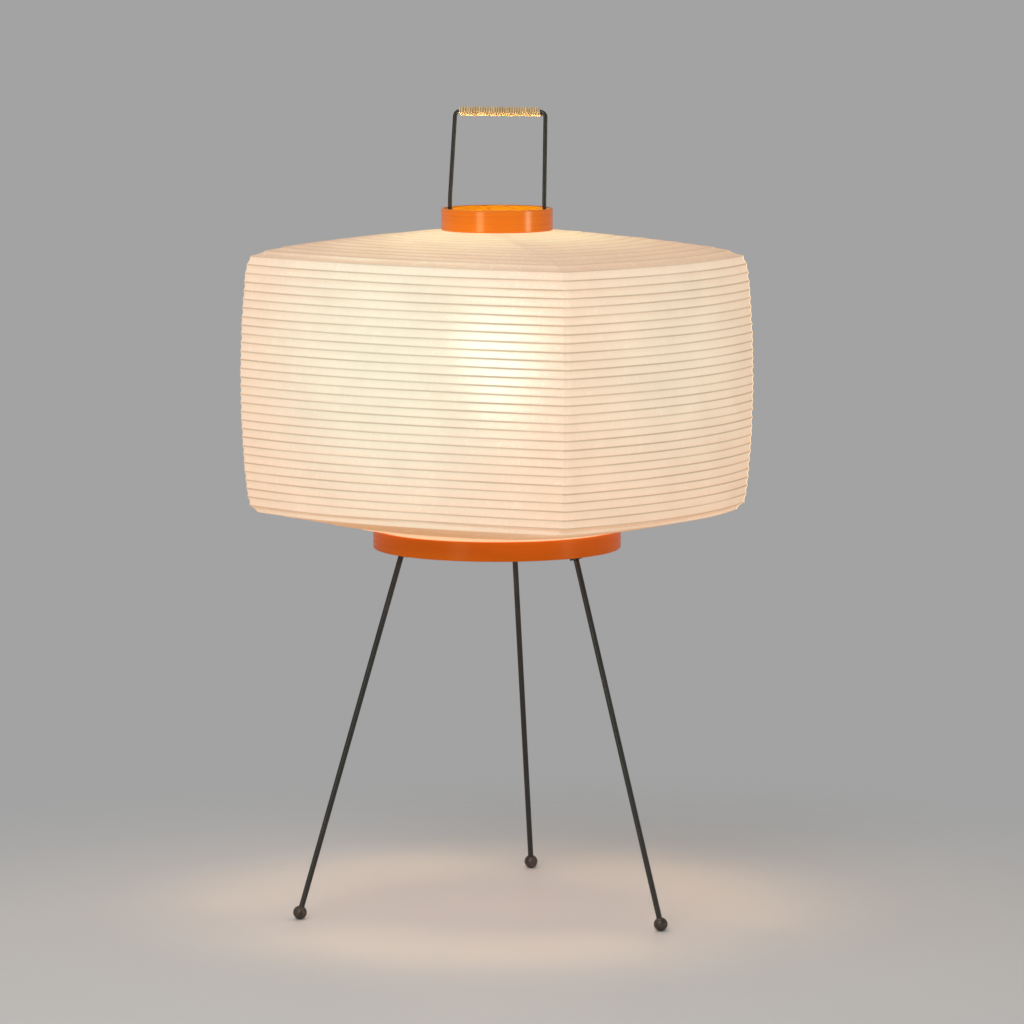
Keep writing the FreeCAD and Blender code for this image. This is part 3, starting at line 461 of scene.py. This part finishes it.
def side_keys(half_length, half_depth):
    """Five places on a quarter of each side rib, from the middle of the front to the middle of the right.

    Front and right are arcs that bow out beyond the half sizes. An arc of the corner radius touches both,
    and its two ends and its tip are the places between.
    """
    zero = np.zeros_like(half_length)
    front = (half_length ** 2 + SIDE_BOW ** 2) / (2 * SIDE_BOW)
    right = (half_depth ** 2 + SIDE_BOW ** 2) / (2 * SIDE_BOW)
    front_centre = np.stack([zero, front - half_depth - SIDE_BOW], -1)
    right_centre = np.stack([half_length + SIDE_BOW - right, zero], -1)
    apart = np.linalg.norm(right_centre - front_centre, axis=-1)
    way = unit(right_centre - front_centre)
    along = ((front - CORNER_RADIUS) ** 2 - (right - CORNER_RADIUS) ** 2 + apart ** 2) / (2 * apart)
    aside = np.sqrt((front - CORNER_RADIUS) ** 2 - along ** 2)
    square = np.stack([-way[:, 1], way[:, 0]], -1)
    bend = front_centre + way * along[:, None] + square * aside[:, None]
    other = front_centre + way * along[:, None] - square * aside[:, None]
    bend = np.where(((bend[:, 0] > 0) & (bend[:, 1] < 0))[:, None], bend, other)
    corner = np.stack([half_length, -half_depth], -1)
    ways = bend - front_centre, corner - bend, bend - right_centre
    ends = [bend + unit(to) * CORNER_RADIUS for to in ways]
    return np.stack([np.stack([zero, -half_depth - SIDE_BOW], -1), *ends,
                     np.stack([half_length + SIDE_BOW, zero], -1)], 1)


def arc_through(first, middle, last, shares):
    """Points of the circle through three points of each rib, by shares of its turn from first to last."""
    a, b = middle - first, last - first
    cross = 2 * (a[:, 0] * b[:, 1] - a[:, 1] * b[:, 0])
    aa, bb = (a ** 2).sum(-1), (b ** 2).sum(-1)
    centre = first + np.stack([b[:, 1] * aa - a[:, 1] * bb, a[:, 0] * bb - b[:, 0] * aa], -1) / cross[:, None]
    start, end = first - centre, last - centre
    begin = np.arctan2(start[:, 1], start[:, 0])
    turn = (np.arctan2(end[:, 1], end[:, 0]) - begin + math.pi) % (2 * math.pi) - math.pi
    angle = begin[:, None] + turn[:, None] * shares
    radius = np.linalg.norm(start, axis=-1)[:, None]
    return centre[:, None] + np.stack([radius * np.cos(angle), radius * np.sin(angle)], -1)


def rib_lines():
    """Closed outlines and heights of all ribs from base ring to top ring, and the corner's place in them.

    The underside and the top are straight blends from the side's end rib to a round ring. The top rises as
    a power of the share. The underside drops steeply to its first rib, as a belly, and then falls evenly.
    The sides are a barrel: their half sizes fall off as the square of the height from the middle, and the
    last two ribs at each end draw in a little more, as a shoulder. Each outline is a quarter, mirrored
    three times, from the middle of the front.
    """
    round_way = np.radians([-90, -65, -45, -25, 0])
    circle = np.stack([np.cos(round_way), np.sin(round_way)], -1)
    off = np.linspace(-1, 1, SIDE_RIBS)
    drawn_in = BARREL * off ** 2
    drawn_in[-2:] += SHOULDER_IN[::-1]
    drawn_in[:2] += FOOT_SHARE * SHOULDER_IN
    sides = side_keys(LANTERN_LENGTH / 2 - drawn_in, LANTERN_DEPTH / 2 - drawn_in)
    evenly = np.linspace(1, 0, BOTTOM_RIBS + 1)
    under = (BELLY_IN + (1 - BELLY_IN) * evenly)[:, None, None]
    drop = BELLY_DROP + (1 - BELLY_DROP) * evenly
    over = (np.arange(1, TOP_RIBS + 2) / (TOP_RIBS + 1))[:, None, None]
    keys = np.concatenate([sides[:1] * (1 - under) + circle * COLLAR_RADIUS * under, sides,
                           sides[-1:] * (1 - over) + circle * MOUTH_RADIUS * over])
    top = BOTTOM_RIB_HEIGHT + (SIDE_RIBS - 1) * SIDE_PITCH
    heights = np.concatenate([BOTTOM_RIB_HEIGHT - (BOTTOM_RIB_HEIGHT - COLLAR_TOP) * drop,
                              BOTTOM_RIB_HEIGHT + SIDE_PITCH * np.arange(SIDE_RIBS),
                              top + TOP_RISE * over.ravel() ** TOP_CURVE])
    flip_x, flip_y = np.array([-1, 1]), np.array([1, -1])
    face = np.linspace(0, 1, FACE_STEPS)
    front = arc_through(keys[:, 1] * flip_x, keys[:, 0], keys[:, 1], 0.5 + 0.5 * np.sin(face * math.pi / 2))
    corner = arc_through(keys[:, 1], keys[:, 2], keys[:, 3], np.arange(1, CORNER_STEPS) / CORNER_STEPS)
    right = arc_through(keys[:, 3], keys[:, 4], keys[:, 3] * flip_y, 0.5 - 0.5 * np.cos(face * math.pi / 2))
    quarter = np.concatenate([front, corner, right], 1)
    outline = np.concatenate([quarter[:, :-1], (quarter * flip_y)[:, :0:-1], -quarter[:, :-1],
                              (quarter * flip_x)[:, :0:-1]], 1)
    return outline, heights, FACE_STEPS - 1 + CORNER_STEPS // 2


def outward(outline):
    """Outward unit normals of closed outlines that run anticlockwise."""
    way = np.roll(outline, -1, 1) - np.roll(outline, 1, 1)
    return unit(np.stack([way[..., 1], -way[..., 0]], -1))


def settled(outline, heights):
    """Heights of every rib point, each rib a little out of level as hand work is.

    Three slow waves run round the lantern, weaker next to the rings and none at them. A sum of two cosines
    lets one corner sag and draws the next one up, most at the lowest rib of the sides.
    """
    around = np.arctan2(outline[..., 1], outline[..., 0])
    rib = np.arange(len(heights))[:, None]
    wave = np.sin(2 * around + rib * 1.7) + 0.7 * np.sin(3 * around + rib * 2.9)
    wave = wave + 0.5 * np.sin(7 * around + rib * 4.1)
    loose = np.ones(len(heights))
    loose[[0, 1, -2, -1]] = 0, 0.4, 0.4, 0
    low = np.interp(rib, (0, BOTTOM_RIBS + 1, BOTTOM_RIBS + SIDE_RIBS), (0, 1, 0))
    turn = around - SAG_TURN
    sag = low * (SAG_ALL + SAG_LEAN * np.cos(turn) + SAG_CORNERS * np.cos(2 * turn))
    return heights[:, None] + RIB_WANDER * wave * loose[:, None] - sag


outline, heights, corner_at = rib_lines()
around = outline.shape[1]
rib_height = settled(outline, heights)
# Direction of the profile at each rib: upright on the sides, nearly level on the top and the underside.
side_step = np.stack([np.linalg.norm(outline[:, 0], axis=-1), heights], -1)
profile = unit(np.diff(side_step, axis=0))
profile = unit(np.vstack([profile[:1], profile[:-1] + profile[1:], profile[-1:]]))
inset, lift = profile[:, 1], profile[:, 0]

bamboo, tree, shader = finish("split_bamboo", Specular_IOR_Level=0.4)
fibre = add(tree, "TexNoise", {"Vector": placed(tree, (25, 25, 1900)), "Scale": 1.0, "Detail": 4.0})
stain = add(tree, "TexNoise", {"Vector": placed(tree, (30, 30, 160)), "Scale": 1.0, "Detail": 3.0})
fine = math_node(tree, "MULTIPLY", fibre.outputs[0], 0.5)
shade = math_node(tree, "MULTIPLY_ADD", stain.outputs[0], 0.6, fine)
mix = colour_mix(tree, stepped(tree, shade, 0.4, 0.75), BAMBOO_PALE, BAMBOO_BROWN)
tree.links.new(mix, shader.inputs["Base Color"])
tree.links.new(stepped(tree, fibre.outputs[0], 0.3, 0.7, start=0.42, end=0.6), shader.inputs["Roughness"])
bumped(tree, shader, fibre.outputs[0], 0.05 * MM)


def hoop_row(name, first, last):
    """Piece with one closed hoop for each rib from first to last: a rounded bar carried round its outline.

    The bar's section is an eight sided circle, stretched and cut square. It lies inside the paper by the seat
    on the sides, and by the drop under the top and over the underside.
    """
    rows = slice(first, last)
    line, outer = outline[rows, ::2], outward(outline[rows])[:, ::2]
    level = rib_height[rows, ::2]
    turn = np.radians(np.arange(0, 360, 45) + 22.5)
    deep = np.clip(np.cos(turn) * RIB_SQUARENESS, -1, 1) * RIB_DEPTH / 2
    tall = np.clip(np.sin(turn) * RIB_SQUARENESS, -1, 1) * RIB_WIDTH / 2
    seat = (inset[rows] * RIB_SEAT)[:, None, None] + (RIB_TUCK * np.abs(lift[rows]))[:, None, None]
    away = deep[None, None] - seat
    flat = line[:, :, None] + outer[:, :, None] * away[..., None]
    rise = level[:, :, None] + tall + (lift[rows] * RIB_DROP)[:, None, None]
    points = np.concatenate([flat, rise[..., None]], -1)
    hoops, steps, ring = points.shape[:3]
    tube = grid_faces(steps + 1, ring, True) % (steps * ring)
    faces = np.concatenate([tube[:, ::-1] + number * steps * ring for number in range(hoops)])
    piece = mesh_piece(name, points, faces, "stand", bamboo)
    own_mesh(piece)
    return piece


side_first, side_last = BOTTOM_RIBS + 1, BOTTOM_RIBS + 1 + SIDE_RIBS
for name, first, last in (("bottom_ribs", 1, side_first), ("side_ribs", side_first, side_last),
                          ("top_ribs", side_last, len(heights) - 1)):
    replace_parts(hoop_row(f"hoops_{name}", first, last), name)

# Paper panels
# Four panels of mulberry paper, one to a side, from inside the base ring over the side to the top ring.
# Each is glued to the ribs, laps the panel before it at the corner, and dries a little hollow between ribs.
# Their glow is painted light: an emission that stands for the bulb's light through the paper.
BAY_STEPS = 6
BAY_HOLLOW = 0.75 * MM
COLLAR_DEPTH, COLLAR_GAP = 5.5 * MM, 0.35 * MM
LAP_STEPS, LAP_LIFT = 4, 0.22 * MM
NO_RIB = 1.0
PANEL_APART = 3.7
PAPER_WHITE = (0.46, 0.42, 0.37)
PAPER_OLD = (0.42, 0.37, 0.32)
PAPER_AT_RIB, RIB_STAIN = (0.32, 0.25, 0.17), 0.75
PAPER_FIBRE, FIBRE_SHARE = (0.90, 0.84, 0.75), 0.20
RIB_LINE = (0.20 * MM, 0.85 * MM)
CLOUD_SHADE, FIBRE_SHADE, LAP_SHADE, RIB_SHADE = -0.28, -0.07, -0.05, -0.38
GLOW_FULL = (0.600, 0.540, 0.392)
GLOW_DIM = (0.632, 0.364, 0.224)
OVER_GLOW_FULL = (0.72, 0.510, 0.250)
OVER_GLOW_DIM = (0.425, 0.218, 0.106)
UNDER_GLOW_EDGE = (0.555, 0.270, 0.120)
UNDER_GLOW_RING = (0.455, 0.160, 0.020)
RIM_GLOW = (0.98, 0.520, 0.260)
SIDE_LIT, OVER_LIT = (0.15, 1.0), (0.15, 1.7)
UNDER_REACH, RIM_RISE = (105 * MM, 165 * MM), (281.2 * MM, 284.2 * MM)
INSIDE_GLOW, INSIDE_STRENGTH = (1.0, 0.66, 0.34), 2.2
THROUGH = (0.22, 0.45, 0.72)
THROUGH_RIB = (0.02, 0.11, 0.22)
SCATTER = ((0.94, 0.002), (0.88, 0.018), (0.80, 0.014), (1.50, 0.003))
NEAREST_PAPER = 134.5 * MM
# Each panel with the number of the corner tip it starts from.
PANELS = (("front", 3), ("right", 0), ("rear", 1), ("left", 2))


def panel_points():
    """The whole skin between collar and mouth, as rows up the profile and columns round the outline.

    Between two ribs the outline and height are straight blends, pressed in square to the profile by a
    parabola that is deepest half way. Slow waves make the hollows uneven, as dried paper is. Also gives each
    point's distance along the profile to the nearest rib. The rings' edges and the first rib of the
    underside, where the paper rolls under, count as no rib, because no line shows there.
    """
    share = np.arange(BAY_STEPS)[None, :, None] / BAY_STEPS
    low, high = outline[:-1, None], outline[1:, None]
    flat = low + (high - low) * share[..., None]
    level = rib_height[:-1, None] + (rib_height[1:, None] - rib_height[:-1, None]) * share
    outer = np.stack([outward(flat[bay]) for bay in range(len(flat))])
    bay_way = unit(np.diff(side_step, axis=0))
    turn = np.arctan2(flat[..., 1], flat[..., 0])
    bay = np.arange(len(flat))[:, None, None]
    slack = 1 + 0.22 * np.sin(5 * turn + bay * 2.3) + 0.16 * np.sin(11 * turn + bay * 1.1 + 2)
    hollow = BAY_HOLLOW * 4 * share * (1 - share) * slack
    flat = flat - outer * (hollow * bay_way[:, None, None, 1])[..., None]
    level = level + hollow * bay_way[:, None, None, 0]
    step = np.concatenate([high - low, np.diff(rib_height, axis=0)[:, None, :, None]], -1)
    length = np.linalg.norm(step, axis=-1)
    under, over = share * length, (1 - share) * length
    under[[0, BOTTOM_RIBS]] = NO_RIB
    over[[BOTTOM_RIBS - 1, -1]] = NO_RIB
    rib = np.minimum(under, over).reshape(-1, around)
    points = np.concatenate([flat, level[..., None]], -1).reshape(-1, around, 3)
    mouth = np.concatenate([outline[-1:], rib_height[-1:, :, None]], -1)
    collar = np.concatenate([np.repeat(outline[:1], 3, 0), np.repeat(rib_height[:1, :, None], 3, 0)], -1)
    collar[..., 2] -= COLLAR_DEPTH * np.array([1.0, 0.6, 0.2])[:, None]
    collar[..., :2] *= 1 - COLLAR_GAP / COLLAR_RADIUS
    away = np.full((1, around), NO_RIB)
    return np.concatenate([collar, points, mouth]), np.concatenate([away, away, away, rib, away])


paper, tree, shader = finish("washi_paper", Roughness=0.86, Specular_IOR_Level=0.2, Emission_Strength=1.0)
lie = placed(tree, attribute="lie")
place = add(tree, "TexCoord").outputs["Object"]
# The bulb's light on a place is the cosine to it over the square of its distance, 1 where it is nearest.
from_bulb = add(tree, "VectorMath", {0: place, 1: BULB_CENTRE}, operation="SUBTRACT").outputs[0]
distance = add(tree, "VectorMath", {0: from_bulb}, operation="LENGTH").outputs["Value"]
normal = add(tree, "NewGeometry").outputs["Normal"]
facing = add(tree, "VectorMath", {0: from_bulb, 1: normal}, operation="DOT_PRODUCT").outputs["Value"]
level = add(tree, "SeparateXYZ", {0: normal}).outputs[2]
over, under = stepped(tree, level, 0.55, 0.95), stepped(tree, level, -0.45, -0.8)
lit = math_node(tree, "DIVIDE", math_node(tree, "ABSOLUTE", facing), math_node(tree, "POWER", distance, 3.0))
lit = math_node(tree, "MULTIPLY", lit, NEAREST_PAPER ** 2)
cloud = add(tree, "TexNoise", {"Vector": lie, "Scale": 22.0, "Detail": 5.0, "Roughness": 0.6})
tooth = add(tree, "TexNoise", {"Vector": lie, "Scale": 1500.0, "Detail": 2.0})
# Long fibres are thin lines where a slow noise crosses its middle value.
strands = []
for scale, seed in ((46.0, 0.0), (71.0, 5.0)):
    settings = {"Vector": lie, "W": seed, "Scale": scale, "Detail": 2.5}
    wander = add(tree, "TexNoise", settings, noise_dimensions="4D")
    off = math_node(tree, "ABSOLUTE", math_node(tree, "SUBTRACT", wander.outputs[0], 0.5))
    strands.append(stepped(tree, off, 0.002, 0.011, start=1.0, end=0.0))
fibre = math_node(tree, "MAXIMUM", *strands)
rib = add(tree, "Attribute", attribute_name="rib").outputs["Fac"]
rib = stepped(tree, rib, *RIB_LINE, start=1.0, end=0.0)
along = placed(tree, (9, 260, 1), attribute="lie")
weight = add(tree, "TexNoise", {"Vector": along, "Scale": 1.0, "Detail": 3.0})
weight = stepped(tree, weight.outputs[0], 0.3, 0.7, start=0.7, end=1.15)
# Ribs show half as strongly on the top and on the underside.
quiet = math_node(tree, "MULTIPLY_ADD", math_node(tree, "ADD", over, under), -0.5, 1.0)
rib = math_node(tree, "MULTIPLY", rib, math_node(tree, "MULTIPLY", weight, quiet))
lap = add(tree, "Attribute", attribute_name="lap").outputs["Fac"]
aged = stepped(tree, cloud.outputs[0], 0.3, 0.7, start=0.0, end=0.22)
body = colour_mix(tree, aged, PAPER_WHITE, PAPER_OLD)
body = colour_mix(tree, math_node(tree, "MULTIPLY", fibre, FIBRE_SHARE), body, PAPER_FIBRE)
body = colour_mix(tree, math_node(tree, "MULTIPLY", rib, RIB_STAIN), body, PAPER_AT_RIB)
tree.links.new(body, shader.inputs["Base Color"])
# Painted glow: brighter where the bulb is nearer, with its own colours on the top and on the underside,
# dimmer towards the base ring.
glow = colour_mix(tree, stepped(tree, lit, *SIDE_LIT), GLOW_DIM, GLOW_FULL)
top_glow = colour_mix(tree, stepped(tree, lit, *OVER_LIT), OVER_GLOW_DIM, OVER_GLOW_FULL)
spot = add(tree, "SeparateXYZ", {0: place}).outputs
low_glow = colour_mix(tree, stepped(tree, off_axis(tree, spot), *UNDER_REACH), UNDER_GLOW_RING, UNDER_GLOW_EDGE)
glow = colour_mix(tree, under, colour_mix(tree, over, glow, top_glow), low_glow)
# A painted band of bright light on the paper just over the base ring's rim.
glow = colour_mix(tree, stepped(tree, spot[2], *RIM_RISE, start=1.0, end=0.0), glow, RIM_GLOW)
# The painted glow is dimmed in thicker clouds and fibres of the paper, at the lap, and in painted shadow
# lines of the ribs.
cloudy = math_node(tree, "SUBTRACT", cloud.outputs[0], 0.5)
glow_dimming = math_node(tree, "MULTIPLY_ADD", cloudy, CLOUD_SHADE, 1.0)
glow_dimming = math_node(tree, "MULTIPLY_ADD", fibre, FIBRE_SHADE, glow_dimming)
glow_dimming = math_node(tree, "MULTIPLY_ADD", lap, LAP_SHADE, glow_dimming)
glow_dimming = math_node(tree, "MULTIPLY", glow_dimming, math_node(tree, "MULTIPLY_ADD", rib, RIB_SHADE, 1.0))
glow_dimming = add(tree, "CombineColor", {0: glow_dimming, 1: glow_dimming, 2: glow_dimming}).outputs[0]
glow = colour_mix(tree, 1.0, glow, glow_dimming, "MULTIPLY")
tree.links.new(glow, shader.inputs["Emission Color"])
relief = math_node(tree, "MULTIPLY_ADD", fibre, 0.5, tooth.outputs[0])
bumped(tree, shader, relief, 0.05 * MM)
through = colour_mix(tree, rib, THROUGH, THROUGH_RIB)
# The bulb shows through as a sum of blurs, each with its share: the further its index from 1, the wider.
seen = shader.outputs[0]
for index, share in SCATTER:
    blur = add(tree, "BsdfRefraction", {"Color": through, "Roughness": 1.0, "IOR": index})
    seen = add(tree, "MixShader", {0: share, 1: seen, 2: blur.outputs[0]}).outputs[0]
# Seen from inside, the paper shows an even painted glow.
inside = add(tree, "Emission", {"Color": (*INSIDE_GLOW, 1.0), "Strength": INSIDE_STRENGTH})
behind = add(tree, "NewGeometry").outputs["Backfacing"]
both = add(tree, "MixShader", {0: behind, 1: seen, 2: inside.outputs[0]})
tree.links.new(both.outputs[0], tree.nodes["Material Output"].inputs["Surface"])

skin, rib_distance = panel_points()
quarter = around // 4
# Columns of the four corner tips, anticlockwise from the front right one.
tips = np.array([corner_at, 2 * quarter - corner_at, 2 * quarter + corner_at, 4 * quarter - corner_at])
for number, (name, first) in enumerate(PANELS):
    start, end = tips[first], tips[(first + 1) % 4]
    columns = np.arange(start - LAP_STEPS, (end if end > start else end + around) + 1) % around
    points, rib = skin[:, columns].copy(), rib_distance[:, columns]
    lap = np.clip(1 - (np.arange(len(columns)) - LAP_STEPS) / 2, 0, 1)
    points[..., :2] += lap[None, :, None] * LAP_LIFT * unit(points[..., :2])
    across = np.linalg.norm(np.diff(points, axis=1), axis=-1)
    up = np.linalg.norm(np.diff(points, axis=0), axis=-1)
    lie = np.zeros_like(points)
    lie[:, 1:, 0] = np.cumsum(across, 1)
    lie[..., 0] -= lie[..., -1:, 0] / 2
    lie[1:, :, 1] = np.cumsum(up.mean(1))[:, None]
    lie[..., 2] = number * PANEL_APART
    on_lap = np.broadcast_to((np.arange(len(columns)) <= LAP_STEPS).astype(float), rib.shape)
    panel = mesh_piece(f"washi_{name}", points, grid_faces(*points.shape[:2]), "stand", paper,
                       {"lie": lie, "rib": rib, "lap": on_lap})
    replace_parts(panel, f"paper_{name}")
    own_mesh(panel)

# Floor and backdrop
# A plain pale floor that fades into an even grey, so there is no horizon behind the lamp.
FLOOR_PALE = (0.69, 0.685, 0.68)
BACKDROP_GREY = 0.365
AMBIENT_LIGHT, AMBIENT_STRENGTH = (1.0, 0.99, 0.98), 0.38
FLOOR_RADIUS, FLOOR_CORNERS = 1.5, 96
FADE_CENTRE, FADE_FROM, FADE_TO = (0.12, -0.16, 0.0), 0.34, 0.82

floor_finish, tree, shader = finish("floor", Base_Color=FLOOR_PALE, Roughness=0.42, Specular_IOR_Level=0.25)
place = add(tree, "TexCoord").outputs["Object"]
centred = add(tree, "VectorMath", {0: place, 1: FADE_CENTRE}, operation="SUBTRACT")
reach = add(tree, "VectorMath", {0: centred.outputs[0]}, operation="LENGTH").outputs["Value"]
fade = add(tree, "MixShader", {0: stepped(tree, reach, FADE_FROM, FADE_TO), 1: shader.outputs[0],
                               2: add(tree, "BsdfTransparent").outputs[0]})
tree.links.new(fade.outputs[0], tree.nodes["Material Output"].inputs["Surface"])
turn = np.linspace(0, 2 * math.pi, FLOOR_CORNERS, endpoint=False)
rim = np.stack([np.cos(turn), np.sin(turn), np.zeros(FLOOR_CORNERS)], -1) * FLOOR_RADIUS
floor_mesh = bpy.data.meshes.new("floor")
floor_mesh.from_pydata(rim, [], [list(range(FLOOR_CORNERS))])
floor_mesh.materials.append(floor_finish)
floor = bpy.data.objects.new("floor", floor_mesh)
bpy.context.collection.objects.link(floor)

world = bpy.data.worlds.new("studio")
bpy.context.scene.world = world
world.use_nodes = True
tree = world.node_tree
# The camera and reflections see the backdrop, and the ambient light has a strength of its own.
path = add(tree, "LightPath").outputs
seen = math_node(tree, "ADD", path["Is Camera Ray"],
                 math_node(tree, "ADD", path["Is Glossy Ray"], path["Is Transmission Ray"]), clamp=True)
backdrop = add(tree, "Background", {"Color": (BACKDROP_GREY,) * 3 + (1.0,), "Strength": 1.0})
ambient = add(tree, "Background", {"Color": (*AMBIENT_LIGHT, 1.0), "Strength": AMBIENT_STRENGTH})
sky = add(tree, "MixShader", {0: seen, 1: ambient.outputs[0], 2: backdrop.outputs[0]})
tree.links.new(sky.outputs[0], tree.nodes["World Output"].inputs["Surface"])

# Studio lamps
# A wide soft box high before the lantern, a weaker one above it, and two small warm boxes at ring height that
# show as soft lights on the varnished rings. A faint one under the base ring evens the pool of light.
PLAIN, WARM, WARMER, PEACH = (1.0, 1.0, 1.0), (1.0, 0.93, 0.62), (1.0, 0.84, 0.42), (1.0, 0.57, 0.49)
LANTERN, POOL = (0.0, 0.0, 0.35), (0.0, 0.0, 0.0)
for name, place, aim, size, power, colour in (
        ("main_box", (0.787, -2.161, 1.9), LANTERN, (1.2, 1.2), 28.0, PLAIN),
        ("front_box", (0.077, -2.2, 0.28), LANTERN, (0.5, 0.32), 5.0, WARMER),
        ("right_box", (2.067, 0.5, 0.3), LANTERN, (0.4, 0.36), 4.6, WARM),
        ("top_box", (-0.45, -0.75, 2.5), LANTERN, (1.6, 1.6), 4.0, PLAIN),
        ("pool_box", (0.0, 0.0, 0.262), POOL, (0.12, 0.12), 0.11, PEACH)):
    lamp = bpy.data.lights.new(name, "AREA")
    lamp.shape, lamp.size, lamp.size_y = "RECTANGLE", *size
    lamp.energy, lamp.color = power, colour
    lit_by = bpy.data.objects.new(name, lamp)
    lit_by.location = place
    lit_by.rotation_euler = (Vector(aim) - Vector(place)).to_track_quat("-Z", "Y").to_euler()
    lit_by.visible_camera = False
    bpy.context.collection.objects.link(lit_by)

# Camera
# A long lens at the lamp's lower third, turned to the corner between the front and the right side.
EYE = (2.2573, -3.0222, 0.7295)
AIM = (0.00871, 0.00647, 0.29035)
FOCAL_PIXELS, FRAME_PIXELS, SENSOR = 5223.9, 1024, 36.0
FAR_CLIP = 100.0

camera = bpy.data.objects.new("camera", bpy.data.cameras.new("camera"))
camera.data.sensor_width = SENSOR
camera.data.lens = FOCAL_PIXELS / FRAME_PIXELS * SENSOR
camera.data.clip_end = FAR_CLIP
camera.location = EYE
camera.rotation_euler = (Vector(AIM) - Vector(EYE)).to_track_quat("-Z", "Y").to_euler()
bpy.context.collection.objects.link(camera)
bpy.context.scene.camera = camera
bpy.context.scene.view_settings.view_transform = "Standard"
